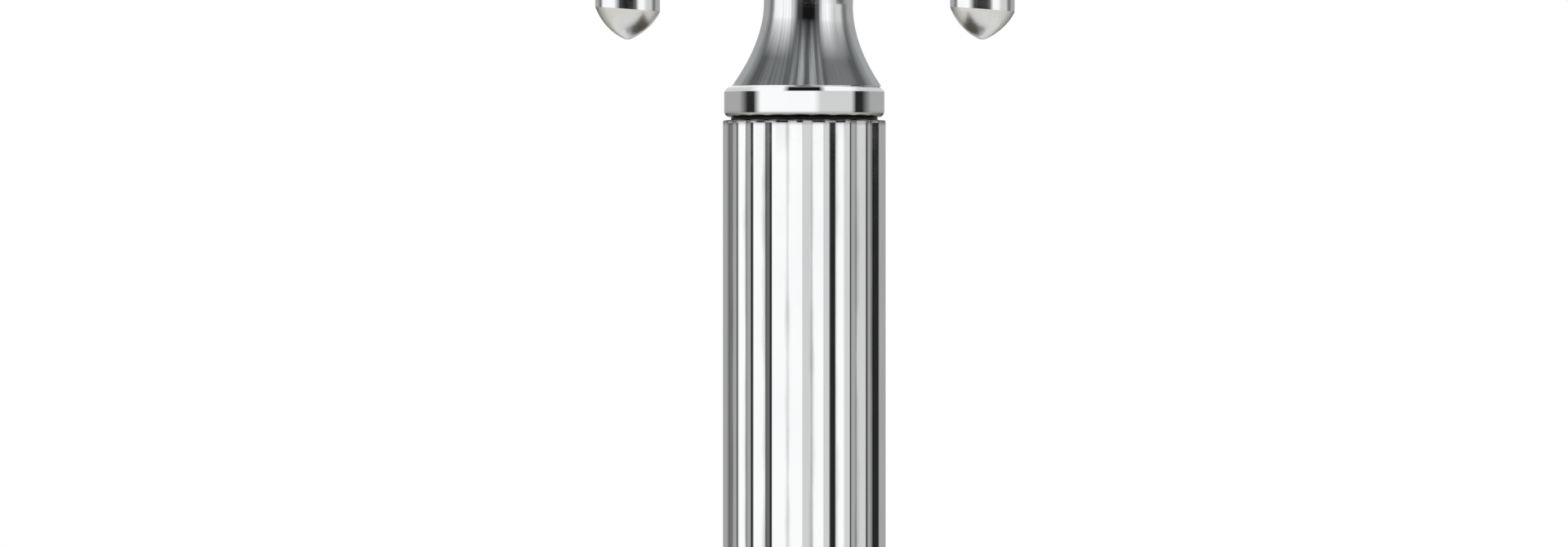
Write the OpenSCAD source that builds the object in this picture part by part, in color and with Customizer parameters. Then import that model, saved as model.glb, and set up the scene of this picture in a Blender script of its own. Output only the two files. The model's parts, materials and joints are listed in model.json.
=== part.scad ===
// Razor stand: a weighted round base, a fluted column, and a fork head that turns on the column.
// The fork's two tines carry the razor's head, and pointed drop finials at their ends stop it sliding off.
// +Z is up, the fork points along -Y, and the origin is on the table under the column's axis.
// All sizes are in millimetres.

/* [Column] */
// Outer diameter of the fluted column
col_d = 12; // [11.5:0.1:12.5]
// Length of the column tube
col_len = 88; // [80:1:100]
// Bore of the column tube
col_bore_d = 8; // [7:0.2:8.4]
// Number of flutes round the column
flute_count = 20; // [16:1:24]
// Width of a flute at the column's surface
flute_w = 1.5; // [0.8:0.1:1.7]
// Depth of a flute
flute_depth = 0.28; // [0.1:0.02:0.36]
// Turn of the flutes about the column's axis, from the front
flute_turn = 5.6; // [0:0.2:20]
// Radius that breaks the column's end edges
col_edge = 0.4; // [0.2:0.05:0.5]

/* [Collars and neck] */
// Diameter of the collar rings
collar_d = 11.8; // [11.4:0.1:12.4]
// Height of a collar ring
collar_h = 2.3; // [2:0.05:3]
// Radius on the collar edge next to the column
collar_edge = 0.45; // [0.2:0.05:0.6]
// Bevel on the collar edge away from the column
collar_bevel = 0.42; // [0.2:0.02:0.46]
// Diameter of the neck where it sits on the collar
neck_foot_d = 11; // [10.6:0.02:11.2]
// Diameter of the neck's waist
neck_waist_d = 6.56; // [6.4:0.02:7.6]
// Height of the waist above the collar
neck_waist_h = 6; // [5:0.1:7]
// Height from the waist to the hub
neck_top_h = 1; // [0.6:0.1:1.6]

/* [Fork head] */
// Diameter of the hub
hub_d = 10; // [9.6:0.1:11]
// Height of the hub
hub_h = 5.4; // [5:0.1:6.5]
// Diameter of the tine rods
rod_d = 3; // [2.6:0.1:3.2]
// Distance between the two tines, centre to centre
tine_spacing = 25.26; // [24:0.02:28]
// Distance from the column's axis forward to the drop finials
tine_reach = 33; // [30:0.5:35]
// Bend radius of a tine's centreline
bend_r = 7.4; // [6:0.2:7.6]
// Diameter of a drop finial
finial_d = 4.6; // [4.4:0.1:5.2]
// Length of a drop finial, tip to tip
finial_len = 13.68; // [12:0.02:15]
// Diameter of the cap finial
cap_d = 5.8; // [5:0.1:7]

/* [Base] */
// Diameter of the base
base_d = 76; // [74:1:84]
// Height of the base shell's top above the table
base_top = 14; // [13:0.5:16]
// Height of the base's rim above the table
rim_top = 5.2; // [4.8:0.1:6]
// Diameter of the seat for the foot ferrule
seat_d = 19.6; // [19:0.2:21]
// Height of the foot ferrule
ferrule_h = 7.6; // [6:0.2:10]
// Thickness of the non-slip pad
pad_t = 1.6; // [1.4:0.1:2]
// Thickness of the bottom plate
plate_t = 1.2; // [1:0.1:1.4]

/* [Fixings] */
// Diameter of the stud that holds the head together and turns in the column
stud_d = 4; // [3.6:0.1:4.2]
// Diameter of the bolt that clamps the column to the base
bolt_d = 5; // [4:0.1:5]
// Radial running clearance of the stud in its bearing plug
run_gap = 0.05; // [0.02:0.01:0.08]
// Radial clearance of fixed and screwed joints
fix_gap = 0.02; // [0.01:0.01:0.04]
// Height of the dark seam between the column and a collar, which its washer fills
seam_t = 0.2; // [0.2:0.05:0.4]
// Play between faces that turn on each other
face_play = 0.02; // [0.01:0.01:0.04]

/* [Hidden] */
$fn = 96;

// Heights up the stand, from the table
rim_gap = 1;
plate_z = pad_t;
cavity_z = plate_z + plate_t;
ferrule_z = base_top;
lower_collar_z = ferrule_z + ferrule_h;
col_z = lower_collar_z + collar_h + seam_t;
col_top = col_z + col_len;
upper_collar_z = col_top + seam_t;
neck_z = upper_collar_z + collar_h;
waist_z = neck_z + neck_waist_h;
hub_z = waist_z + neck_top_h;
tine_z = hub_z + hub_h / 2;
cap_z = hub_z + hub_h;

// Parts inside the column
plug_len = 8;
plug_flange_gap = 0.1;
upper_plug_z = col_top - plug_flange_gap - plug_len;
friction_washer_t = 0.4;
wave_washer_t = 0.5;
nut_h = 3.2;
nut_d = 7;
friction_washer_z = upper_plug_z - face_play - friction_washer_t;
wave_washer_z = friction_washer_z - wave_washer_t;
nut_z = wave_washer_z - nut_h;
stud_z = nut_z - 0.6;
stud_top = tine_z + rod_d / 2;
lower_plug_len = 12;
bolt_top = col_z + lower_plug_len - 2;

// Parts under the base
plate_d = base_d - 7;
pad_d = plate_d;
bolt_well_d = 20;
washer_t = 1;
spring_washer_t = 1.1;
bolt_head_d = 8;
bolt_head_h = 1.8;
bolt_well_z = pad_t + 3.4;
bolt_washer_z = bolt_well_z - washer_t;
spring_washer_z = bolt_washer_z - spring_washer_t;
bolt_head_z = spring_washer_z - bolt_head_h;

// The neck and the foot ferrule flare as a power of the distance from their narrowest place
flare_power = 1.9;
flare_steps = 14;
ferrule_waist_d = 10.4;
ferrule_foot_d = 18.4;

// The pointed tip of a finial is an arc whose slope, from the vertical, runs between these angles
tip_slope_start = 22;
tip_slope_end = 72;
tip_steps = 10;

// Depths of the sockets for the tines
hub_spigot_d = 2;
hub_spigot_len = 1.9;
hub_spot_depth = 0.6;
finial_socket_depth = finial_d / 2 + 0.9;
socket_end_gap = 0.05;

// ---- shared shapes ----

function flare_r(r_waist, r_foot, height, h) =
    r_waist + (r_foot - r_waist) * pow(h / height, flare_power);

// Points of an arc about [cx, cy], from angle a0 to a1
function arc(cx, cy, r, a0, a1, steps = 5) =
    [for (i = [0:steps]) let (a = a0 + (a1 - a0) * i / steps) [cx + r * cos(a), cy + r * sin(a)]];

function tip_radius(r) = r / (cos(tip_slope_start) - cos(tip_slope_end));
function tip_len(r) = tip_radius(r) * (sin(tip_slope_end) - sin(tip_slope_start));

// Outline of a pointed tip on a body of radius r, from its shoulder at height z up to the point
function tip_points(r, z) =
    [for (i = [0:tip_steps])
        let (a = tip_slope_start + (tip_slope_end - tip_slope_start) * i / tip_steps)
        [max(0, r - tip_radius(r) * (cos(tip_slope_start) - cos(a))),
         z + tip_radius(r) * (sin(a) - sin(tip_slope_start))]];

module washer(z, d, bore, t) {
    translate([0, 0, z])
        difference() {
            cylinder(d = d, h = t);
            translate([0, 0, -1]) cylinder(d = bore, h = t + 2);
        }
}

// A collar ring standing on z = 0, with its rounded edge down and its bevelled edge up
module collar_ring(bore) {
    r = collar_d / 2;
    rotate_extrude()
        polygon(concat(
            [[bore / 2, 0]],
            arc(r - collar_edge, collar_edge, collar_edge, -90, 0),
            [[r, collar_h - collar_bevel], [r - collar_bevel, collar_h], [bore / 2, collar_h]]
        ));
}

// ---- base ----

module foot_pad() {
    color("#1c1c1e") washer(0, pad_d, bolt_well_d, pad_t);
}

module base_plate() {
    color("#8f9296") washer(plate_z, plate_d, bolt_well_d, plate_t);
}

// Height of the cove between the rim and the seat, at radius r
cove_r = base_d / 2 - 4;
cove_power = 2.1;
cove_steps = 20;
function cove_z(r) =
    rim_top + 0.3 + (base_top - rim_top - 0.3) * pow((cove_r - r) / (cove_r - seat_d / 2), cove_power);

// Wall of the shell over the weight, measured down from the cove
shell_wall = 2;
cavity_r = plate_d / 2 + fix_gap;
weight_r = base_d / 2 - 7;
weight_core_r = 12;
weight_gap = 0.1;

module base_shell() {
    r = base_d / 2;
    color("#d9dcde")
        difference() {
            rotate_extrude()
                polygon(concat(
                    [[0, cavity_z], [cavity_r - 2, cavity_z], [cavity_r - 2, rim_gap]],
                    arc(r - 0.7, rim_gap + 0.7, 0.7, -90, 0),
                    arc(r - 1.2, rim_top - 1.2, 1.2, 0, 90),
                    [[cove_r + 0.6, rim_top], [cove_r + 0.3, rim_top - 0.3], [cove_r, rim_top - 0.3]],
                    [for (i = [0:cove_steps])
                        let (q = cove_r + (seat_d / 2 - cove_r) * i / cove_steps) [q, cove_z(q)]],
                    [[0, base_top]]
                ));
            translate([0, 0, rim_gap - 1]) cylinder(r = cavity_r, h = cavity_z - rim_gap + 1);
            base_weight_form(weight_gap);
            cylinder(d = bolt_d + 2 * fix_gap, h = base_top + 1);
        }
}

// The weight is a disc with a raised core, grown by gap where the shell's cavity is cut
module base_weight_form(gap) {
    top_r = weight_r - 8;
    rotate_extrude()
        polygon([
            [0, cavity_z], [weight_r + gap, cavity_z],
            [weight_r + gap, cove_z(weight_r) - shell_wall + gap],
            [top_r + gap, cove_z(top_r) - shell_wall + gap],
            [weight_core_r + gap, cove_z(weight_core_r) - shell_wall + gap],
            [0, cove_z(weight_core_r) - shell_wall + gap]
        ]);
}

module base_weight() {
    color("#4b4a48")
        difference() {
            base_weight_form(0);
            translate([0, 0, cavity_z - 1]) cylinder(d = bolt_well_d, h = bolt_well_z - cavity_z + 1);
            cylinder(d = bolt_d + 2 * fix_gap, h = base_top);
        }
}

module base_bolt() {
    color("#a9adb2") {
        difference() {
            translate([0, 0, bolt_head_z]) cylinder(d = bolt_head_d / cos(30), h = bolt_head_h, $fn = 6);
            translate([0, 0, bolt_head_z - 1]) cylinder(d = 4, h = 1.6);
        }
        translate([0, 0, bolt_head_z + bolt_head_h])
            cylinder(d = bolt_d, h = bolt_top - bolt_head_z - bolt_head_h);
    }
}

module bolt_washer() {
    color("#b9bcc0") washer(bolt_washer_z, 14, bolt_d + 4 * fix_gap, washer_t);
}

// A split ring, cut through at the back
module spring_washer() {
    color("#74777b")
        difference() {
            washer(spring_washer_z, 9, bolt_d + 4 * fix_gap, spring_washer_t);
            translate([-0.4, 0, spring_washer_z - 1]) cube([0.8, 6, spring_washer_t + 2]);
        }
}

module foot_ferrule() {
    color("#d3d6d9")
        translate([0, 0, ferrule_z])
            rotate_extrude()
                polygon(concat(
                    [[bolt_d / 2 + fix_gap, 0]],
                    [for (i = [0:flare_steps]) let (h = ferrule_h * (1 - i / flare_steps))
                        [flare_r(ferrule_waist_d / 2, ferrule_foot_d / 2, ferrule_h, h), ferrule_h - h]],
                    [[bolt_d / 2 + fix_gap, ferrule_h]]
                ));
}

// ---- column ----

module lower_collar() {
    color("#dfe1e3")
        translate([0, 0, lower_collar_z + collar_h]) mirror([0, 0, 1]) collar_ring(bolt_d + 2 * fix_gap);
}

module lower_washer() {
    color("#161617") washer(col_z - seam_t, collar_d - 1, bolt_d + 2 * fix_gap, seam_t);
}

module lower_plug() {
    color("#b08d45") washer(col_z, col_bore_d, bolt_d + 2 * fix_gap, lower_plug_len);
}

// The tube's blank, with both end edges broken
module column_blank() {
    r = col_d / 2;
    rotate_extrude()
        polygon(concat(
            [[col_bore_d / 2 + fix_gap, 0]],
            arc(r - col_edge, col_edge, col_edge, -90, 0),
            arc(r - col_edge, col_len - col_edge, col_edge, 0, 90),
            [[col_bore_d / 2 + fix_gap, col_len]]
        ));
}

// One flute, a shallow V cut along the whole tube at angle 0
module flute() {
    r = col_d / 2;
    translate([0, 0, -1])
        linear_extrude(height = col_len + 2)
            polygon([
                [r - flute_depth, 0],
                [r + flute_depth, flute_w],
                [r + 1, flute_w],
                [r + 1, -flute_w],
                [r + flute_depth, -flute_w]
            ]);
}

module column_tube() {
    color("#d0d3d6")
        translate([0, 0, col_z])
            difference() {
                column_blank();
                for (i = [0:flute_count - 1])
                    rotate([0, 0, -90 + flute_turn + 360 * i / flute_count]) flute();
            }
}

module upper_plug() {
    color("#b08d45") washer(upper_plug_z, col_bore_d, stud_d + 2 * run_gap, plug_len);
}

module thrust_washer() {
    color("#161617") washer(col_top, collar_d - 1, stud_d + 2 * run_gap, seam_t - face_play);
}

// ---- head, which turns ----

// The neck's register sits in a recess in the collar
register_d = 7;
register_h = 0.8;

module upper_collar() {
    color("#dfe1e3")
        translate([0, 0, upper_collar_z])
            difference() {
                collar_ring(stud_d + 2 * fix_gap);
                translate([0, 0, collar_h - register_h - fix_gap])
                    cylinder(d = register_d + 2 * fix_gap, h = register_h + 1);
            }
}

module neck() {
    r_waist = neck_waist_d / 2;
    r_foot = neck_foot_d / 2;
    bore_r = stud_d / 2 + fix_gap;
    color("#c4c8cc")
        translate([0, 0, neck_z])
            rotate_extrude()
                polygon(concat(
                    [[bore_r, -register_h], [register_d / 2, -register_h], [register_d / 2, 0]],
                    [for (i = [0:flare_steps]) let (h = neck_waist_h * (1 - i / flare_steps))
                        [flare_r(r_waist, r_foot, neck_waist_h, h), neck_waist_h - h]],
                    [[r_waist, neck_waist_h + neck_top_h], [bore_r, neck_waist_h + neck_top_h]]
                ));
}

hub_edge = 0.7;

module hub() {
    r = hub_d / 2;
    color("#d9dcde")
        difference() {
            translate([0, 0, hub_z])
                rotate_extrude()
                    polygon(concat(
                        [[stud_d / 2 + fix_gap, 0]],
                        arc(r - hub_edge, hub_edge, hub_edge, -90, 0),
                        arc(r - hub_edge, hub_h - hub_edge, hub_edge, 0, 90),
                        [[stud_d / 2 + fix_gap, hub_h]]
                    ));
            for (side = [-1, 1])
                translate([0, 0, tine_z]) rotate([0, 90 * side, 0]) {
                    translate([0, 0, hub_d / 2 - hub_spot_depth]) cylinder(d = rod_d + 2 * fix_gap, h = 2);
                    translate([0, 0, hub_d / 2 - hub_spot_depth - hub_spigot_len - socket_end_gap])
                        cylinder(d = hub_spigot_d + 2 * fix_gap, h = hub_spigot_len + 1);
                }
        }
}

module head_stud() {
    color("#a9adb2") translate([0, 0, stud_z]) cylinder(d = stud_d, h = stud_top - stud_z);
}

module friction_washer() {
    color("#e8e4d8") washer(friction_washer_z, 7.6, stud_d + 2 * fix_gap, friction_washer_t);
}

module wave_washer() {
    color("#74777b") washer(wave_washer_z, 7, stud_d + 2 * fix_gap, wave_washer_t);
}

module lock_nut() {
    color("#a9adb2")
        difference() {
            translate([0, 0, nut_z]) cylinder(d = nut_d, h = nut_h, $fn = 6);
            translate([0, 0, nut_z - 1]) cylinder(d = stud_d + 2 * fix_gap, h = nut_h + 2);
        }
}

// A tine on the +X side: a spigot in the hub, a bend forward, and a straight run into its finial
module tine() {
    x0 = hub_d / 2 - hub_spot_depth;
    x1 = tine_spacing / 2 - bend_r;
    y_end = -tine_reach - finial_socket_depth + finial_d / 2 + socket_end_gap;
    translate([0, 0, tine_z]) {
        translate([x0 - hub_spigot_len, 0, 0]) rotate([0, 90, 0]) cylinder(d = hub_spigot_d, h = hub_spigot_len);
        translate([x0, 0, 0]) rotate([0, 90, 0]) cylinder(d = rod_d, h = x1 - x0);
        translate([x1, -bend_r, 0]) rotate_extrude(angle = 90) translate([bend_r, 0]) circle(d = rod_d);
        translate([x1 + bend_r, -bend_r, 0]) rotate([90, 0, 0]) cylinder(d = rod_d, h = -bend_r - y_end);
    }
}

module left_tine() {
    color("#d3d6d9") mirror([1, 0, 0]) tine();
}

module right_tine() {
    color("#d3d6d9") tine();
}

// A double-ended drop, centred on the tine's end, with the tine's socket in its back
module finial() {
    r = finial_d / 2;
    half_body = finial_len / 2 - tip_len(r);
    upper = tip_points(r, half_body);
    translate([tine_spacing / 2, -tine_reach, tine_z])
        difference() {
            rotate_extrude()
                polygon(concat(
                    [for (i = [len(upper) - 1:-1:0]) [upper[i][0], -upper[i][1]]],
                    upper
                ));
            translate([0, finial_d / 2 - finial_socket_depth, 0])
                rotate([-90, 0, 0]) cylinder(d = rod_d + 2 * fix_gap, h = finial_d);
        }
}

module left_finial() {
    color("#e2e4e6") mirror([1, 0, 0]) finial();
}

module right_finial() {
    color("#e2e4e6") finial();
}

// A bullet-shaped cap on a waisted stem, screwed into the hub's top
module cap_finial() {
    r = cap_d / 2;
    flange_r = r + 0.5;
    stem_h = 1.9;
    body_h = 3;
    color("#e2e4e6") {
        translate([0, 0, cap_z])
            rotate_extrude()
                polygon(concat(
                    [[0, 0], [flange_r, 0], [flange_r, 0.5]],
                    arc(r, 0.5 + stem_h / 2, stem_h / 2, 270, 90, 10),
                    tip_points(r, 0.5 + stem_h + body_h)
                ));
        translate([0, 0, stud_top + 0.1]) cylinder(d = stud_d, h = cap_z - stud_top);
    }
}

foot_pad();
base_plate();
base_weight();
base_shell();
base_bolt();
bolt_washer();
spring_washer();
foot_ferrule();
lower_collar();
lower_washer();
lower_plug();
column_tube();
upper_plug();
thrust_washer();
upper_collar();
neck();
hub();
head_stud();
friction_washer();
wave_washer();
lock_nut();
left_tine();
right_tine();
left_finial();
right_finial();
cap_finial();
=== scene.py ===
"""Looks of the razor stand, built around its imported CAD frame.

Every plated piece is turned again here as a finely rounded lathe form, the column with its real flutes and the
tines as swept rods. The chrome is a mirror, so most of what is seen is the studio: a light tent whose panels are
a function of the angles at which polished metal shows them.
"""
import json
import math

import bmesh
import bpy
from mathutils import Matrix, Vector


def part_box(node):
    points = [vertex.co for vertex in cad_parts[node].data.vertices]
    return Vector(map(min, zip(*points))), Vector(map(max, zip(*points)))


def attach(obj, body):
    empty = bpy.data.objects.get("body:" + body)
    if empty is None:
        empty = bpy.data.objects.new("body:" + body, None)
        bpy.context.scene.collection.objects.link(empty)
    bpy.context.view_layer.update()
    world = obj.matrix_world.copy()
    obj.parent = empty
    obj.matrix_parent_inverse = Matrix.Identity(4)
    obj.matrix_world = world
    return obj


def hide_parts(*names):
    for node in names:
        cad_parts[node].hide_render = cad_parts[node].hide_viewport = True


MM = 0.001
STEPS = 192

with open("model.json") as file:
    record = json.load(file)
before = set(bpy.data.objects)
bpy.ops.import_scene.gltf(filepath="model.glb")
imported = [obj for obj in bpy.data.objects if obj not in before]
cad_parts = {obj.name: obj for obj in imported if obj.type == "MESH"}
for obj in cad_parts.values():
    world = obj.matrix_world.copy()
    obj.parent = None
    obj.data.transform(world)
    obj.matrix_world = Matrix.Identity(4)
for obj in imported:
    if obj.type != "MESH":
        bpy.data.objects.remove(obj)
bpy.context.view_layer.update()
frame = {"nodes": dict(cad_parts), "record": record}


# ---- places and sizes, from the frame ----


def low(node):
    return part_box(node)[0].z / MM


def high(node):
    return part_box(node)[1].z / MM


def radius(node):
    """Half the width of a round node, in millimetres."""
    a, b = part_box(node)
    return (b.x - a.x) / 2 / MM


def centre_of(node):
    a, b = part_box(node)
    return (a + b) / 2 / MM


def body_of(node):
    for name, nodes in frame["record"]["behaviour"]["bodies"].items():
        if node in nodes:
            return name
    raise ValueError(node)


SLOT_OF = {part["node"]: part["material_slot"] for part in frame["record"]["subparts"]}


# ---- materials ----


class Nodes:
    """A short way to wire up a material's nodes."""

    def __init__(self, tree):
        self.tree = tree

    def add(self, kind, **settings):
        node = self.tree.nodes.new(kind)
        for name, value in settings.items():
            setattr(node, name, value)
        return node

    def join(self, source, target):
        self.tree.links.new(source, target)

    def feed(self, target, value):
        if isinstance(value, bpy.types.NodeSocket):
            self.join(value, target)
        else:
            target.default_value = value

    def math(self, operation, a, b=0.0, clamp=False):
        node = self.add("ShaderNodeMath", operation=operation, use_clamp=clamp)
        self.feed(node.inputs[0], a)
        self.feed(node.inputs[1], b)
        return node.outputs[0]

    def spread(self, value, low_in, high_in, low_out=0.0, high_out=1.0, smooth=False):
        node = self.add("ShaderNodeMapRange", interpolation_type="SMOOTHSTEP" if smooth else "LINEAR")
        for index, number in enumerate((value, low_in, high_in, low_out, high_out)):
            self.feed(node.inputs[index], number)
        return node.outputs[0]

    def mix(self, share, a, b):
        node = self.add("ShaderNodeMix", data_type="RGBA")
        self.feed(node.inputs["Factor"], share)
        self.feed(node.inputs["A"], a)
        self.feed(node.inputs["B"], b)
        return node.outputs["Result"]

    def ramp(self, value, stops):
        """A colour ramp through (position, colour) stops."""
        node = self.add("ShaderNodeValToRGB")
        self.feed(node.inputs[0], value)
        elements = node.color_ramp.elements
        while len(elements) > 1:
            elements.remove(elements[-1])
        elements[0].position, elements[0].color = stops[0][0], (*stops[0][1], 1)
        for place, colour in stops[1:]:
            elements.new(place).color = (*colour, 1)
        return node.outputs[0]

    def noise(self, scale, detail=2.0, roughness=0.5, stretch=(1, 1, 1)):
        """Noise in object space. The scale is in cycles a millimetre, divided by the stretch along each axis."""
        place = self.add("ShaderNodeTexCoord").outputs["Object"]
        shape = self.add("ShaderNodeMapping")
        self.join(place, shape.inputs["Vector"])
        shape.inputs["Scale"].default_value = [1 / (MM * part) for part in stretch]
        node = self.add("ShaderNodeTexNoise")
        self.join(shape.outputs[0], node.inputs["Vector"])
        node.inputs["Scale"].default_value = scale
        node.inputs["Detail"].default_value = detail
        node.inputs["Roughness"].default_value = roughness
        return node.outputs[0]

    def rings(self, per_mm):
        """Turning marks: noise that changes only with height."""
        return self.noise(per_mm, detail=3.0, stretch=(1e4, 1e4, 1))

    def xyz(self, space="Object"):
        """The three coordinates of the shaded point, or of the direction if this is a world."""
        parts = self.add("ShaderNodeSeparateXYZ")
        self.join(self.add("ShaderNodeTexCoord").outputs[space], parts.inputs[0])
        return parts.outputs

    def spokes(self, count):
        """Noise that changes only round the Z axis."""
        x, y, _ = self.xyz()
        angle = self.math("ARCTAN2", y, x)
        node = self.add("ShaderNodeTexNoise", noise_dimensions="1D")
        self.feed(node.inputs["W"], angle)
        node.inputs["Scale"].default_value = count / math.tau
        node.inputs["Detail"].default_value = 2.0
        return node.outputs[0]

    def bump(self, height, size, normal=None):
        """Raises the surface by height times size, in millimetres."""
        node = self.add("ShaderNodeBump")
        node.inputs["Strength"].default_value = 1.0
        node.inputs["Distance"].default_value = size * MM
        self.join(height, node.inputs["Height"])
        if normal is not None:
            self.join(normal, node.inputs["Normal"])
        return node.outputs[0]


def material(name, colour, metallic=0.0, roughness=0.5):
    made = bpy.data.materials.new(name)
    made.use_nodes = True
    made.diffuse_color = (*colour, 1)
    shader = made.node_tree.nodes["Principled BSDF"]
    shader.inputs["Base Color"].default_value = (*colour, 1)
    shader.inputs["Metallic"].default_value = metallic
    shader.inputs["Roughness"].default_value = roughness
    return made, Nodes(made.node_tree), shader


CHROME = (0.93, 0.935, 0.94)
CLOUDED = (0.885, 0.89, 0.9)
BRUSHED = (0.36, 0.385, 0.4)
# Colour of the painted shade deep in the flutes' hollows.
FLUTE_SHADE_COLOUR = (0.42, 0.42, 0.41)
# Colour of the painted shade at the seams between parts.
SEAM_SHADE_COLOUR = (0.2, 0.195, 0.19)
# The most that the painted shade in the flutes and at the seams covers, and the distances from a seam over which the
# painted seam shade fades out.
PAINTED_SHADE_SHARE = 0.85
SEAM_SHADE_SPAN = (0.1, 0.62)
# How much rougher the soft polish is.
SATIN = 0.22


def chrome(name, waviness=0.0006, rings=0.0, spokes=0.0, streaks=0.0, roughness=0.05, flute_shade=None, satin_below=None,
           seam_shade=()):
    """Bright chrome plate: a mirror with faint orange peel, turning marks where it was turned, and fine handling
    scratches. spokes and streaks are the relief and the tone of a brushed finish along the Z axis. A span of radii
    given for flutes is where painted shade darkens the flutes' hollows. satin_below is the height under which the
    polish is softer. Painted shade darkens the colour close to each of the given seam heights, between parts."""
    made, n, shader = material(name, CHROME, metallic=1.0)
    wear = n.noise(0.35, detail=6)
    shader_rough = n.spread(wear, 0.35, 0.7, roughness * 0.7, roughness * 1.5)
    scratches = n.noise(1.2, detail=3, stretch=(0.35, 0.35, 9))
    fine = n.spread(scratches, 0.68, 0.78, 0.0, 0.04)
    rough = n.math("ADD", shader_rough, fine)
    if satin_below:
        fade = n.spread(n.xyz()[2], (satin_below - 0.1) * MM, (satin_below + 0.05) * MM, SATIN, 0.0)
        rough = n.math("ADD", rough, fade)
    n.join(rough, shader.inputs["Roughness"])
    cloud = n.spread(n.noise(0.12, detail=4), 0.3, 0.75)
    colour = n.mix(cloud, (*CHROME, 1), (*CLOUDED, 1))
    # Painted shade: the colour darkens deep in the flutes' hollows, with a patchy edge.
    if flute_shade:
        x, y, _ = n.xyz()
        square = n.math("ADD", n.math("POWER", x, 2.0), n.math("POWER", y, 2.0))
        depth = n.math("DIVIDE", n.math("SQRT", square), MM)
        patchy = n.spread(n.noise(0.9, detail=5, stretch=(1, 1, 6)), 0.25, 0.75, -0.05, 0.05)
        share = n.spread(n.math("ADD", depth, patchy), flute_shade[1], flute_shade[0], 0.0, PAINTED_SHADE_SHARE)
        colour = n.mix(share, colour, (*FLUTE_SHADE_COLOUR, 1))
    # Painted shade: the colour darkens close to each seam between parts, and fades out with distance.
    for seam in seam_shade:
        away = n.math("ABSOLUTE", n.math("SUBTRACT", n.xyz()[2], seam * MM))
        share = n.spread(away, SEAM_SHADE_SPAN[0] * MM, SEAM_SHADE_SPAN[1] * MM, PAINTED_SHADE_SHARE, 0.0, smooth=True)
        colour = n.mix(share, colour, (*SEAM_SHADE_COLOUR, 1))
    if streaks:
        brushed = n.math("MULTIPLY", n.spread(n.spokes(110), 0.36, 0.56, streaks, 0.0), n.spread(wear, 0.3, 0.6))
        colour = n.mix(brushed, colour, (*BRUSHED, 1))
    n.join(colour, shader.inputs["Base Color"])
    normal = n.bump(n.noise(0.5, detail=2), waviness) if waviness else None
    if rings:
        normal = n.bump(n.rings(5.0), rings, normal)
    if spokes:
        normal = n.bump(n.spokes(150), spokes, normal)
    if normal is not None:
        n.join(normal, shader.inputs["Normal"])
    return made


def steel(name, colour, roughness=0.3):
    made, n, shader = material(name, colour, metallic=1.0)
    tone = n.spread(n.noise(0.6, detail=5), 0.3, 0.7)
    dark = tuple(part * 0.72 for part in colour)
    n.join(n.mix(tone, (*colour, 1), (*dark, 1)), shader.inputs["Base Color"])
    n.join(n.spread(n.noise(1.5, detail=4), 0.3, 0.7, roughness * 0.8, roughness * 1.3), shader.inputs["Roughness"])
    n.join(n.bump(n.noise(4.0, detail=4), 0.01), shader.inputs["Normal"])
    return made


def cast_iron(name):
    grey, rust = (0.09, 0.088, 0.085), (0.16, 0.1, 0.06)
    made, n, shader = material(name, grey, metallic=0.8)
    n.join(n.spread(n.noise(1.0, detail=6), 0.3, 0.7, 0.5, 0.8), shader.inputs["Roughness"])
    n.join(n.mix(n.spread(n.noise(0.8, detail=6), 0.45, 0.7), (*grey, 1), (*rust, 1)), shader.inputs["Base Color"])
    n.join(n.bump(n.noise(1.6, detail=8, roughness=0.7), 0.25), shader.inputs["Normal"])
    return made


def rubber(name):
    black, dusty = (0.022, 0.022, 0.024), (0.05, 0.05, 0.052)
    made, n, shader = material(name, black)
    n.join(n.mix(n.spread(n.noise(0.4, detail=6), 0.4, 0.7), (*black, 1), (*dusty, 1)), shader.inputs["Base Color"])
    n.join(n.spread(n.noise(2.0, detail=4), 0.3, 0.7, 0.62, 0.85), shader.inputs["Roughness"])
    n.join(n.bump(n.noise(6.0, detail=5), 0.03), shader.inputs["Normal"])
    return made


def moulded(name, colour):
    made, n, shader = material(name, colour)
    pale = tuple(min(1.0, part * 1.25 + 0.01) for part in colour)
    n.join(n.mix(n.spread(n.noise(0.8, detail=5), 0.35, 0.7), (*colour, 1), (*pale, 1)), shader.inputs["Base Color"])
    n.join(n.spread(n.noise(2.5, detail=4), 0.3, 0.7, 0.45, 0.65), shader.inputs["Roughness"])
    n.join(n.bump(n.noise(8.0, detail=4), 0.01), shader.inputs["Normal"])
    return made


FINISH = {
    "chrome_plate": chrome("chrome_plate"),
    "stainless": steel("stainless", (0.55, 0.56, 0.58)),
    "spring_steel": steel("spring_steel", (0.2, 0.205, 0.22), 0.4),
    "zinc_plate": steel("zinc_plate", (0.5, 0.52, 0.55), 0.35),
    "cast_iron": cast_iron("cast_iron"),
    "rubber_pad": rubber("rubber_pad"),
    "brass": steel("brass", (0.72, 0.52, 0.22), 0.25),
    "black_fibre": moulded("black_fibre", (0.012, 0.012, 0.013)),
    "nylon": moulded("nylon", (0.66, 0.63, 0.56)),
}
seams = ((high("lower_collar") + low("column_tube")) / 2, (high("column_tube") + low("upper_collar")) / 2)
# The column gets painted shade deep in its flutes and at both seams. The collars get painted shade at the seams.
column_chrome = chrome("column_chrome", waviness=0.0004, flute_shade=(5.68, 5.8), seam_shade=seams)
collar_chrome = chrome("collar_chrome", waviness=0.0003, roughness=0.022, seam_shade=seams)
neck_chrome = chrome("neck_chrome", waviness=0.0003, rings=0.00012, spokes=0.0022, roughness=0.06, streaks=0.42)
# The finials' tips are less polished than their bodies.
FINIAL_TIP_H = 2.04
finial_chrome = chrome("finial_chrome", waviness=0.0, satin_below=low("left_finial") + FINIAL_TIP_H)

for node, thing in frame["nodes"].items():
    thing.data.materials.clear()
    thing.data.materials.append(FINISH[SLOT_OF[node]])


# ---- mesh helpers ----


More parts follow.
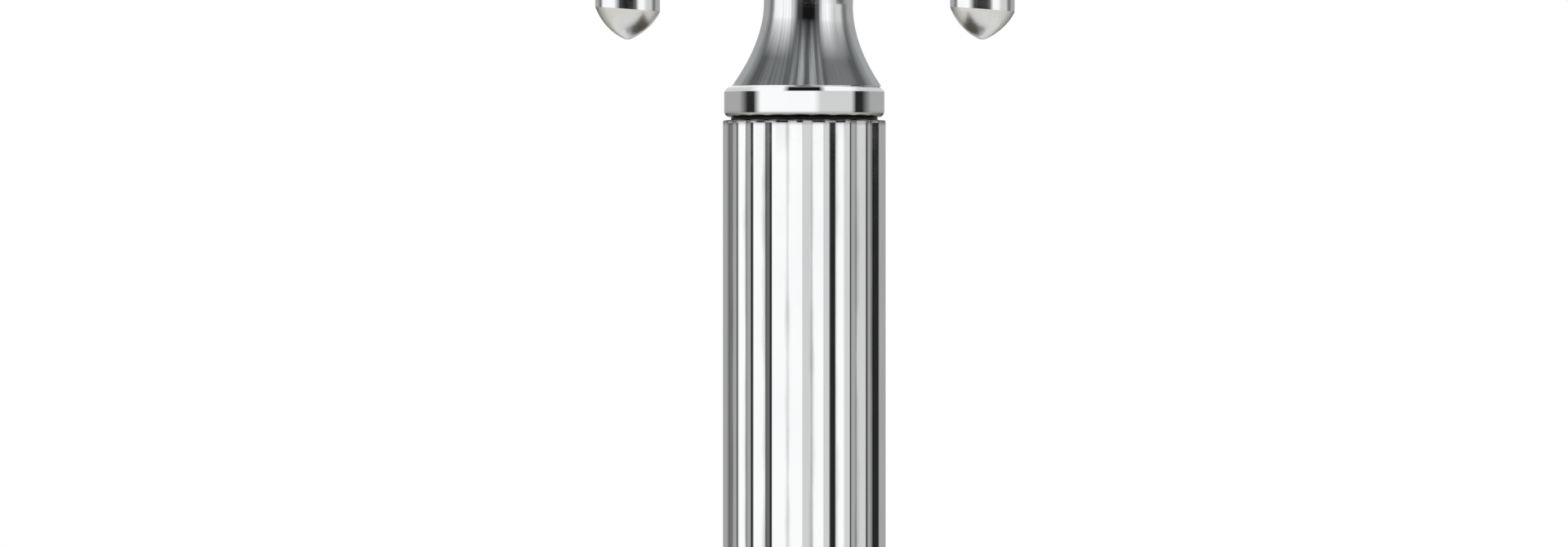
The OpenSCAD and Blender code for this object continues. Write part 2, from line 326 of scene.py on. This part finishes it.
def place_mesh(name, verts, faces, node, finish=None, crease=35):
    """Makes a smooth mesh from millimetre points, which stands for a CAD node and rides on its body."""
    mesh = bpy.data.meshes.new(name)
    mesh.from_pydata([tuple(part * MM for part in v) for v in verts], [], faces)
    work = bmesh.new()
    work.from_mesh(mesh)
    bmesh.ops.recalc_face_normals(work, faces=work.faces)
    work.to_mesh(mesh)
    work.free()
    mesh.polygons.foreach_set("use_smooth", [True] * len(mesh.polygons))
    mesh.set_sharp_from_angle(angle=math.radians(crease))
    thing = bpy.data.objects.new(name, mesh)
    bpy.context.collection.objects.link(thing)
    mesh.materials.append(finish or FINISH[SLOT_OF[node]])
    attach(thing, body_of(node))
    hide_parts(node)
    return thing


def soften(points, closed=True, support=0.06, per_arc=6):
    """Rounds the corners of an outline. A point is (r, z) for a sharp corner or (r, z, radius) for a rounded one.
    Each rounding gets a close neighbour on both sides, which keeps the flats beside it flat in a mirror finish."""
    made = []
    count = len(points)
    for i, point in enumerate(points):
        here = Vector(point[:2])
        size = point[2] if len(point) > 2 else 0.0
        inside = closed or 0 < i < count - 1
        if not size or not inside:
            made.append(tuple(here))
            continue
        before = Vector(points[i - 1][:2]) - here
        after = Vector(points[(i + 1) % count][:2]) - here
        turn = before.angle(after)
        reach = size / math.tan(turn / 2)
        a, b = before.normalized(), after.normalized()
        middle = here + (a + b).normalized() * (size / math.sin(turn / 2))
        start, end = here + a * reach, here + b * reach
        if before.length > reach + 2 * support:
            made.append(tuple(here + a * (reach + support)))
        first, last = start - middle, end - middle
        sweep = first.angle(last)
        for k in range(per_arc + 1):
            t = k / per_arc
            spoke = (first * math.sin((1 - t) * sweep) + last * math.sin(t * sweep)) / math.sin(sweep)
            made.append(tuple(middle + spoke))
        if after.length > reach + 2 * support:
            made.append(tuple(here + b * (reach + support)))
    return made


def arc(cx, cz, r, start, end, count=8):
    """Points of an arc in the outline's plane, between two angles in degrees."""
    return [(cx + r * math.cos(math.radians(start + (end - start) * i / count)),
             cz + r * math.sin(math.radians(start + (end - start) * i / count))) for i in range(count + 1)]


def revolve(outline, steps=STEPS, at=(0.0, 0.0), shape=None):
    """Turns a closed outline of (r, z) points round a vertical axis. shape(r, z, angle) may alter a radius."""
    verts, rings = [], []
    for r, z in outline:
        if r < 1e-6:
            rings.append([len(verts)])
            verts.append((at[0], at[1], z))
            continue
        rings.append(list(range(len(verts), len(verts) + steps)))
        for i in range(steps):
            angle = math.tau * i / steps
            reach = shape(r, z, angle) if shape else r
            verts.append((at[0] + reach * math.cos(angle), at[1] + reach * math.sin(angle), z))
    faces = []
    for k, ring in enumerate(rings):
        after = rings[(k + 1) % len(rings)]
        if len(ring) == 1 and len(after) == 1:
            continue
        for i in range(steps):
            j = (i + 1) % steps
            if len(ring) == 1:
                faces.append((ring[0], after[i], after[j]))
            elif len(after) == 1:
                faces.append((ring[i], ring[j], after[0]))
            else:
                faces.append((ring[i], ring[j], after[j], after[i]))
    return verts, faces


def sweep_rod(path, r, around=48):
    """A round rod along a level path of (x, y, z) points, closed at both ends."""
    verts, faces = [], []
    points = [Vector(p) for p in path]
    for i, here in enumerate(points):
        ahead = points[min(i + 1, len(points) - 1)] - points[max(i - 1, 0)]
        side = Vector((0, 0, 1)).cross(ahead).normalized()
        for k in range(around):
            angle = math.tau * k / around
            verts.append(tuple(here + side * (r * math.cos(angle)) + Vector((0, 0, r * math.sin(angle)))))
    for i in range(len(points) - 1):
        for k in range(around):
            j = (k + 1) % around
            a, b = i * around, (i + 1) * around
            faces.append((a + k, a + j, b + j, b + k))
    faces.append(tuple(reversed(range(around))))
    faces.append(tuple(range(len(verts) - around, len(verts))))
    return verts, faces


FLARE_POWER = 1.9


def flare(r_waist, r_foot, height, h):
    """The radius of a flare at height h from its waist."""
    return r_waist + (r_foot - r_waist) * (h / height) ** FLARE_POWER


TIP_START = math.radians(23)
TIP_END = math.radians(66)
TIP_POINT = 0.26


def drop_tip(r, z, direction=1, count=14):
    """A pointed tip with a softened point on a body of radius r, from its shoulder at height z."""
    point = r * TIP_POINT
    reach = r - point * math.cos(TIP_END)
    big = reach / (math.cos(TIP_START) - math.cos(TIP_END))
    made = []
    for i in range(count + 1):
        a = TIP_START + (TIP_END - TIP_START) * i / count
        made.append((r - big * (math.cos(TIP_START) - math.cos(a)), big * (math.sin(a) - math.sin(TIP_START))))
    rise = made[-1][1] - point * math.sin(TIP_END)
    for i in range(1, 7):
        a = TIP_END + (math.pi / 2 - TIP_END) * i / 6
        made.append((point * math.cos(a), rise + point * math.sin(a)))
    made[-1] = (0.0, made[-1][1])
    return [(q, z + direction * up) for q, up in made]


def tip_length(r):
    return drop_tip(r, 0.0)[-1][1]


# ---- column ----

FLUTES = 20
FLUTE_TURN = 5.6
RIB_CURVE = 0.19
FLUTE_STEP = 0.09
# The share of the half pitch where a rib's flank starts, how far the flank reaches, and how hollow it is.
FLANK_START = 0.21
FLANK_SPAN = 0.52
FLANK_HOLLOW = 1.27
COLUMN_EDGE = 0.15
PER_FLUTE = 28
column_r = radius("column_tube")
column_z = (low("column_tube"), high("column_tube"))
column_bore = 4.02


def rib(share):
    """How far the surface lies under the column's outside, at a share of the way from a rib's crest to a flute."""
    t = min(1.0, max(0.0, (share - FLANK_START) / FLANK_SPAN))
    return RIB_CURVE * share ** 2 + FLUTE_STEP * (1 - (1 - t) ** FLANK_HOLLOW)


def fluted(r, z, angle):
    """The outline's radius, less the flute's depth. The rounded ends follow the flutes, as buffing leaves them."""
    pitch = 360 / FLUTES
    from_crest = (math.degrees(angle) + 90 - FLUTE_TURN) % pitch / (pitch / 2) - 1
    # On the end faces the flutes fade out towards the bore.
    outward = (r - column_bore) / (column_r - 0.3 - column_bore)
    return r - rib(abs(from_crest)) * min(1.0, max(0.0, outward))


def column():
    edge = COLUMN_EDGE
    bottom, top = column_z
    outline = [(column_bore, bottom)]
    outline += arc(column_r - edge, bottom + edge, edge, -90, 0, 10)
    outline += [(column_r, bottom + edge + 0.1), (column_r, top - edge - 0.1)]
    outline += arc(column_r - edge, top - edge, edge, 0, 90, 10)
    outline += [(column_bore, top)]
    verts, faces = revolve(outline, steps=FLUTES * PER_FLUTE, shape=fluted)
    place_mesh("fluted_column", verts, faces, "column_tube", column_chrome, crease=18)


column()


# ---- collars, washers and neck ----

COLLAR_EDGE = 0.45
COLLAR_BEVEL = 0.42
BEVEL_CROWN = 0.0165


def collar(name, node, flip):
    r, z0, z1 = radius(node), low(node), high(node)
    bore = 2.6
    h = z1 - z0
    # The bevel is faintly crowned, as polishing leaves it.
    bevel = []
    for k in range(7):
        crown = BEVEL_CROWN * math.sin(math.pi * k / 6)
        bevel.append((r - COLLAR_BEVEL * (1 - k / 6) + crown, h - COLLAR_BEVEL * k / 6 + crown))
    outline = [(bore, 0)] + arc(r - COLLAR_EDGE, COLLAR_EDGE, COLLAR_EDGE, -90, 0, 10)
    outline += [(r, COLLAR_EDGE + 0.06), (r, h - COLLAR_BEVEL - 0.06)] + list(reversed(bevel)) + [(bore, h)]
    outline = [(a, (z1 - b) if flip else (z0 + b)) for a, b in outline]
    verts, faces = revolve(outline)
    place_mesh(name, verts, faces, node, collar_chrome, crease=24)


collar("ring_collar_upper", "upper_collar", False)
collar("ring_collar_lower", "lower_collar", True)


def thin_washer(name, node, bore):
    r, z0, z1 = radius(node), low(node), high(node)
    outline = soften([(bore, z0), (r, z0, 0.04), (r, z1, 0.04), (bore, z1)], support=0.01)
    verts, faces = revolve(outline, steps=128)
    place_mesh(name, verts, faces, node)


thin_washer("fibre_washer_lower", "lower_washer", 2.6)
thin_washer("fibre_washer_upper", "thrust_washer", 2.1)

NECK_WAIST_H = 6.0
NECK_WAIST_R = 3.28
NECK_LIP = 0.01
NECK_PLAY = 0.16
NECK_LEAN = 0.024


def neck():
    """The neck sits in its collar with a little play, so it stands off-centre and leans by a degree."""
    z0, z1 = high("upper_collar"), high("neck")
    r_foot, r_waist, bore, lip = radius("neck"), NECK_WAIST_R, 2.02, NECK_LIP
    outline = [(bore, z0 - 0.8), (3.5, z0 - 0.8), (3.5, z0), (r_foot, z0), (r_foot, z0 + lip)]
    for i in range(1, 61):
        h = NECK_WAIST_H * (1 - i / 60)
        up = (NECK_WAIST_H - h) * (1 - lip / NECK_WAIST_H)
        outline.append((flare(r_waist, r_foot, NECK_WAIST_H, h), z0 + lip + up))
    outline += [(r_waist, z1 - 0.3), (r_waist, z1), (bore, z1)]
    verts, faces = revolve(outline)
    verts = [(x + NECK_PLAY + NECK_LEAN * (z - z0), y, z) for x, y, z in verts]
    place_mesh("flared_neck", verts, faces, "neck", neck_chrome, crease=20)


neck()


# ---- hub, tines, finials and cap ----


def keep_out_of_mirrors(thing):
    """The neck shows no image of the fork, so the fork is left out of what polished metal reflects."""
    thing.visible_glossy = False


def hub():
    r, z0, z1 = radius("hub"), low("hub"), high("hub")
    groove = [(z0 + 1.35, 0.12), (z1 - 1.35, 0.12)]
    side = []
    for z, depth in groove:
        side += [(r, z - 0.16, 0.04), (r - depth, z - 0.04, 0.03), (r - depth, z + 0.04, 0.03), (r, z + 0.16, 0.04)]
    outline = soften([(2.02, z0), (r, z0, 0.7), *side, (r, z1, 0.7), (2.02, z1)], per_arc=8, support=0.05)
    verts, faces = revolve(outline)
    keep_out_of_mirrors(place_mesh("turned_hub", verts, faces, "hub", crease=30))


hub()
rod_r = (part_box("left_tine")[1].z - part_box("left_tine")[0].z) / 2 / MM
tine_z = centre_of("left_tine").z
finial_r = radius("left_finial")
hub_r = radius("hub")
BEND_R = 7.4


def tine(name, node, side):
    a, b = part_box(node)
    x_out = max(abs(a.x), abs(b.x)) / MM - rod_r
    y_end = a.y / MM
    x_in = hub_r - 0.6
    x_bend = x_out - BEND_R
    path = [(x_in, 0), (x_in + 0.2, 0), (x_bend - 0.05, 0)]
    for k in range(33):
        angle = math.radians(90 * k / 32)
        path.append((x_bend + BEND_R * math.sin(angle), -BEND_R + BEND_R * math.cos(angle)))
    path += [(x_out, -BEND_R - 0.1), (x_out, y_end + 0.2), (x_out, y_end)]
    verts, faces = sweep_rod([(side * x, y, tine_z) for x, y in path], rod_r)
    keep_out_of_mirrors(place_mesh(name, verts, faces, node))


tine("fork_tine_left", "left_tine", -1)
tine("fork_tine_right", "right_tine", 1)


SHOULDER_SLANT = 0.075


def finial(name, node):
    """A drop finial. Its lower shoulder was turned a little out of square, down to the right."""
    middle = centre_of(node)
    half = (high(node) - low(node)) / 2 - tip_length(finial_r)
    shoulder = middle.z - half
    up = drop_tip(finial_r, middle.z + half)
    down = drop_tip(finial_r, shoulder, -1)
    body = [(finial_r, shoulder + k) for k in (0.04, 0.3, 1.0, 2.0)] + [(finial_r, middle.z + half - 0.04)]
    verts, faces = revolve(list(reversed(down)) + body + up, steps=128, at=(middle.x, middle.y))
    slanted = []
    for x, y, z in verts:
        fade = max(0.0, 1 - abs(z - shoulder) / (2.0 if z > shoulder else tip_length(finial_r)))
        slanted.append((x, y, z - SHOULDER_SLANT * (x - middle.x) * fade))
    keep_out_of_mirrors(place_mesh(name, slanted, faces, node, finial_chrome, crease=12))


finial("drop_finial_left", "left_finial")
finial("drop_finial_right", "right_finial")


def cap():
    z0, z1 = high("hub"), high("cap_finial")
    flange = radius("cap_finial")
    r = flange - 0.5
    waist = 0.95
    shoulder = z1 - tip_length(r)
    stem_top = z0 + 0.5 + 2 * waist
    outline = [(0, z0 - 1.1), (2.0, z0 - 1.1), (2.0, z0), (flange - 0.08, z0), (flange, z0 + 0.08),
               (flange, z0 + 0.42), (flange - 0.08, z0 + 0.5), (r + 0.05, z0 + 0.5)]
    outline += arc(r, z0 + 0.5 + waist, waist, 270, 90, 20)
    outline += [(r, stem_top + 0.06), (r, shoulder - 0.05)] + drop_tip(r, shoulder)
    verts, faces = revolve(outline)
    place_mesh("bullet_cap", verts, faces, "cap_finial", crease=14)


cap()


# ---- base ----


def ferrule():
    z0, z1 = low("foot_ferrule"), high("foot_ferrule")
    h = z1 - z0
    r_foot, r_waist = radius("foot_ferrule"), 5.2
    outline = [(2.52, z0), (r_foot - 0.06, z0), (r_foot, z0 + 0.06), (r_foot, z0 + 0.12)]
    for i in range(1, 41):
        up = h * (1 - i / 40)
        outline.append((flare(r_waist, r_foot, h, up), z0 + 0.12 + (h - 0.12) - up))
    outline.append((2.52, z1))
    verts, faces = revolve(outline)
    place_mesh("flared_ferrule", verts, faces, "foot_ferrule", crease=30)


ferrule()


def shell():
    r, z0, z1 = radius("base_shell"), low("base_shell"), high("base_shell")
    seat, cove = 9.8, r - 4
    rim = 5.2
    inner = radius("base_plate") + 0.02
    floor_z = high("base_plate")

    def cove_z(q):
        return rim + 0.3 + (z1 - rim - 0.3) * ((cove - q) / (cove - seat)) ** 2.1

    outline = [(2.52, floor_z), (inner, floor_z), (inner, z0 + 0.1), (inner + 0.1, z0)]
    outline += soften([(inner + 0.2, z0), (r, z0, 0.7), (r, rim, 1.2), (cove + 0.6, rim, 0.12),
                       (cove + 0.3, rim - 0.3, 0.06), (cove, rim - 0.3, 0.08), (cove, rim + 0.3)],
                      closed=False, per_arc=10)[1:-1]
    outline += [(cove + (seat - cove) * i / 48, cove_z(cove + (seat - cove) * i / 48)) for i in range(49)]
    outline += [(seat - 0.08, z1), (2.52, z1)]
    verts, faces = revolve(outline, steps=256)
    place_mesh("coved_base", verts, faces, "base_shell", crease=30)


shell()


def pad():
    """The rubber ring, with fine concentric ribs moulded into its underside."""
    r, z1 = radius("foot_pad"), high("foot_pad")
    inner = 10.0
    outline = [(inner, z1), (inner, 0.15), (inner + 0.15, 0.0)]
    q = inner + 2.0
    while q < r - 3.0:
        outline += [(q, 0.0), (q + 0.15, 0.3), (q + 0.75, 0.3), (q + 0.9, 0.0)]
        q += 2.2
    outline += [(r - 0.3, 0.0), (r, 0.3), (r, z1)]
    verts, faces = revolve(outline, steps=160)
    place_mesh("ribbed_pad", verts, faces, "foot_pad", crease=30)


pad()


def bolt():
    """A hexagon-headed bolt with a dished face, rounded corners and a rolled thread."""
    a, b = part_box("base_bolt")
    across = (b.y - a.y) / 2 / MM
    z0, shank, top = low("base_bolt"), 2.5, high("base_bolt")
    head_top = z0 + 1.8

    def hexed(r, z, angle):
        if r < shank + 0.1:
            return r
        turn = math.degrees(angle) % 60 - 30
        return min(r, across / math.cos(math.radians(turn)))

    corner = across / math.cos(math.radians(30))
    outline = [(0, z0 + 0.6), (1.9, z0 + 0.6), (2.0, z0 + 0.05), (across - 0.1, z0), (corner, z0 + 0.35),
               (corner, head_top), (shank, head_top)]
    z, pitch = head_top + 6.0, 0.8
    outline.append((shank, z))
    while z + pitch < top - 0.6:
        outline += [(shank - 0.3, z + pitch * 0.4), (shank - 0.3, z + pitch * 0.5), (shank, z + pitch * 0.9),
                    (shank, z + pitch)]
        z += pitch
    outline += [(shank, top - 0.4), (shank - 0.4, top), (0, top)]
    verts, faces = revolve(outline, steps=120, shape=hexed)
    place_mesh("hexagon_bolt", verts, faces, "base_bolt", crease=25)


bolt()


# ---- studio ----


def to_linear(tone):
    """Scene light for a display tone from 0 to 255."""
    share = tone / 255
    return share / 12.92 if share <= 0.04045 else ((share + 0.055) / 1.055) ** 2.4


# The tent is brighter by what the chrome swallows.
GAIN = 1 / CHROME[0]


def layout(panels, tint=(1, 1, 1)):
    """(angle, colour) stops for flat panels, given as (first angle, last angle, tone). Neighbours blend into each
    other over the gap between them."""
    stops = []
    for first, last, tone in panels:
        colour = tuple(to_linear(tone) * GAIN * part for part in tint)
        stops.append((first, colour))
        if last > first:
            stops.append((last, colour))
    return stops


# The tones of the tent's panels, from 0 to 255.
WHITE, PALE, WALL, SOFT, DIM, DUSK, DARK, FLAG, BLACK = 252, 208, 165, 145, 118, 90, 60, 38, 20
# The panels by the angle that a surface showing them is turned to the side, from -90 to 90 degrees.
SIDE_PANELS = [(-90, -54, WALL), (-45, -39, FLAG), (-33, 7, WHITE), (12, 36, PALE), (40, 46, FLAG), (56, 90, WALL)]
UPPER_PANELS = [(-90, -62, WALL), (-56, -53, DIM), (-46, -24, WHITE), (-13, -9, DARK), (-6, 7, BLACK), (11, 13, DUSK),
                (19, 27, WHITE), (34, 44, PALE), (51, 55, DIM), (61, 90, WALL)]
# These are the same to the left and to the right, from 0 to 90 degrees.
OVERHEAD = [(0, 1, DUSK), (4, 6, WALL), (9, 9, DUSK), (12, 12, SOFT), (15, 15, DUSK), (20, 38, DIM), (45, 50, DUSK),
            (66, 90, WALL)]
ZENITH = [(0, 11, BLACK), (16, 36, WHITE), (44, 90, PALE)]
BELOW = [(0, 42, PALE), (66, 66, SOFT), (78, 90, DUSK)]
# How the upper panels give way to the overhead ones, by the angle that the surface is turned up.
OVERHEAD_RISE = [(9, 0), (11, 0.2), (27, 1)]
COOL = (0.965, 1.0, 1.01)
WARM = (1.02, 1.0, 0.93)
FLOOR_LOOK = (0.3, 0.29, 0.265)


def mirror_angles(n):
    """The two angles of the surface that would mirror a world direction to a camera in front: round and up."""
    x, y, z = n.xyz("Generated")
    back = n.math("SUBTRACT", 1.0, y)
    level = n.math("SQRT", n.math("ADD", n.math("POWER", x, 2.0), n.math("POWER", back, 2.0)))
    around = n.math("MULTIPLY", n.math("ARCTAN2", x, back), 180 / math.pi)
    upward = n.math("MULTIPLY", n.math("ARCTAN2", z, level), 180 / math.pi)
    return around, upward


def full_ramp(n, share, panels):
    """Panels over -90 to 90 degrees, as a ramp over a share from 0 to 1."""
    return n.ramp(share, [((angle + 90) / 180, colour) for angle, colour in layout(panels)])


def half_ramp(n, around, panels, tint=(1, 1, 1)):
    """A ramp that is the same to the left and to the right."""
    share = n.math("DIVIDE", n.math("ABSOLUTE", around), 90.0)
    return n.ramp(share, [(angle / 90, colour) for angle, colour in layout(panels, tint)])


def light_tent():
    world = bpy.data.worlds.new("light_tent")
    bpy.context.scene.world = world
    world.use_nodes = True
    n = Nodes(world.node_tree)
    world.node_tree.nodes.clear()
    around, upward = mirror_angles(n)
    share = n.spread(around, -90, 90)
    side = full_ramp(n, share, SIDE_PANELS)
    upper = full_ramp(n, share, UPPER_PANELS)
    overhead = half_ramp(n, around, OVERHEAD, COOL)
    zenith = half_ramp(n, around, ZENITH)
    below = n.mix(n.spread(upward, -30, -68), half_ramp(n, around, BELOW, WARM), (*FLOOR_LOOK, 1))
    colour = n.mix(n.spread(upward, -15, -20), side, below)
    colour = n.mix(n.spread(upward, 1.5, 2.4), colour, upper)
    rise = n.ramp(n.spread(upward, 0, 40), [(angle / 40, (share,) * 3) for angle, share in OVERHEAD_RISE])
    colour = n.mix(rise, colour, overhead)
    colour = n.mix(n.spread(upward, 37.0, 38.5), colour, zenith)
    colour = n.mix(n.spread(upward, 46, 54), colour, (0.98, 0.98, 0.98, 1))
    lit = n.add("ShaderNodeBackground")
    n.join(colour, lit.inputs["Color"])
    plain = n.add("ShaderNodeBackground")
    plain.inputs["Color"].default_value = (1, 1, 1, 1)
    seen = n.add("ShaderNodeMixShader")
    n.join(n.add("ShaderNodeLightPath").outputs["Is Camera Ray"], seen.inputs[0])
    n.join(lit.outputs[0], seen.inputs[1])
    n.join(plain.outputs[0], seen.inputs[2])
    n.join(seen.outputs[0], n.add("ShaderNodeOutputWorld").inputs["Surface"])


def hide_from_all_but_gloss(thing):
    thing.visible_camera = thing.visible_diffuse = thing.visible_shadow = False
    thing.visible_transmission = thing.visible_volume_scatter = False


RING_R = 0.45
RING_Z = (0.1222, 0.156)


def light_ring():
    """The tent's upper panels start at a height just over the collar. This is the strip of them next to that edge,
    near enough for the edge to fall between the collar and the drop finials."""
    steps = 180
    verts = [(RING_R * math.sin(math.tau * i / steps), -RING_R * math.cos(math.tau * i / steps), z)
             for z in RING_Z for i in range(steps)]
    faces = [(i, (i + 1) % steps, steps + (i + 1) % steps, steps + i) for i in range(steps)]
    mesh = bpy.data.meshes.new("light_ring")
    mesh.from_pydata(verts, [], faces)
    ring = bpy.data.objects.new("light_ring", mesh)
    bpy.context.collection.objects.link(ring)
    made = bpy.data.materials.new("light_ring")
    made.use_nodes = True
    n = Nodes(made.node_tree)
    made.node_tree.nodes.clear()
    x, y, _ = n.xyz()
    angle = n.math("ARCTAN2", x, n.math("MULTIPLY", y, -1.0))
    colour = full_ramp(n, n.spread(angle, -math.pi, math.pi), UPPER_PANELS)
    glow = n.add("ShaderNodeEmission")
    n.join(colour, glow.inputs["Color"])
    n.join(glow.outputs[0], n.add("ShaderNodeOutputMaterial").inputs["Surface"])
    mesh.materials.append(made)
    hide_from_all_but_gloss(ring)


def ground():
    """A round pale floor. Only its middle shows in the chrome, which sees the tent beyond it."""
    steps, inner, outer = 96, 0.12, 1.5
    spokes = [(math.cos(math.tau * i / steps), math.sin(math.tau * i / steps)) for i in range(steps)]
    rims = [[(r * x, r * y, 0) for x, y in spokes] for r in (inner, outer)]
    made, n, shader = material("floor_paper", (0.86, 0.86, 0.835), roughness=0.9)
    n.join(n.spread(n.noise(0.02, detail=6), 0.3, 0.7, 0.84, 0.94), shader.inputs["Roughness"])
    middle = [tuple(range(steps))]
    around = [(i, (i + 1) % steps, steps + (i + 1) % steps, steps + i) for i in range(steps)]
    for name, verts, faces in (("floor", rims[0], middle), ("floor_edge", rims[0] + rims[1], around)):
        mesh = bpy.data.meshes.new(name)
        mesh.from_pydata(verts, [], faces)
        mesh.materials.append(made)
        part = bpy.data.objects.new(name, mesh)
        bpy.context.collection.objects.link(part)
        part.visible_glossy = name == "floor"


def card(name, x, span_y, span_z, light):
    """A small upright card beside a drop finial, seen only in the finial's polish. Its other side is clear."""
    (y0, y1), (z0, z1) = span_y, span_z
    outward = (x > 0) == (abs(x) < finial_x)
    corners = [(x, y0, z0), (x, y1, z0), (x, y1, z1), (x, y0, z1)]
    mesh = bpy.data.meshes.new(name)
    mesh.from_pydata([tuple(part * MM for part in c) for c in corners], [], [(0, 1, 2, 3) if outward else (3, 2, 1, 0)])
    thing = bpy.data.objects.new(name, mesh)
    bpy.context.collection.objects.link(thing)
    made = bpy.data.materials.new(name)
    made.use_nodes = True
    n = Nodes(made.node_tree)
    made.node_tree.nodes.clear()
    glow = n.add("ShaderNodeEmission")
    glow.inputs["Color"].default_value = (*light, 1)
    either = n.add("ShaderNodeMixShader")
    n.join(n.add("ShaderNodeNewGeometry").outputs["Backfacing"], either.inputs[0])
    n.join(glow.outputs[0], either.inputs[1])
    n.join(n.add("ShaderNodeBsdfTransparent").outputs[0], either.inputs[2])
    n.join(either.outputs[0], n.add("ShaderNodeOutputMaterial").inputs["Surface"])
    mesh.materials.append(made)
    hide_from_all_but_gloss(thing)


def soft_light(name, place, size, power):
    data = bpy.data.lights.new(name, "AREA")
    data.shape, data.size, data.energy = "DISK", size, power
    lamp = bpy.data.objects.new(name, data)
    bpy.context.collection.objects.link(lamp)
    lamp.location = place
    lamp.rotation_euler = (-Vector(place)).to_track_quat("-Z", "Y").to_euler()
    lamp.visible_camera = lamp.visible_glossy = False


CARD_X = 3.0
CARD_LIGHT = (0.065, 0.056, 0.046)

light_tent()
light_ring()
ground()
finial_x = centre_of("right_finial").x
for side in (-1, 1):
    card("black_card", side * CARD_X, (-38, -12), (60, 110.5), CARD_LIGHT)
soft_light("key", (-0.9, -1.1, 1.9), 1.2, 16)
soft_light("fill", (1.1, 0.6, 1.8), 1.4, 10)


# ---- camera ----

# The picture's width at the column's plane, and the camera's place from the column's axis and its top.
PICTURE_W = 115.454
CAMERA_X = -1.494
CAMERA_D = 1.0
CAMERA_DROP = 11.3
camera_data = bpy.data.cameras.new("camera")
camera_data.sensor_width = 36
camera_data.lens = camera_data.sensor_width * CAMERA_D / (PICTURE_W * MM)
camera = bpy.data.objects.new("camera", camera_data)
bpy.context.collection.objects.link(camera)
# The column stands a little right of the middle, with its top seam well above it.
camera.location = (CAMERA_X * MM, -CAMERA_D, (high("column_tube") - CAMERA_DROP) * MM)
camera.rotation_euler = (math.pi / 2, 0, 0)
camera_data.clip_start, camera_data.clip_end = 0.05, 30
bpy.context.scene.camera = camera
bpy.context.scene.view_settings.view_transform = "Standard"
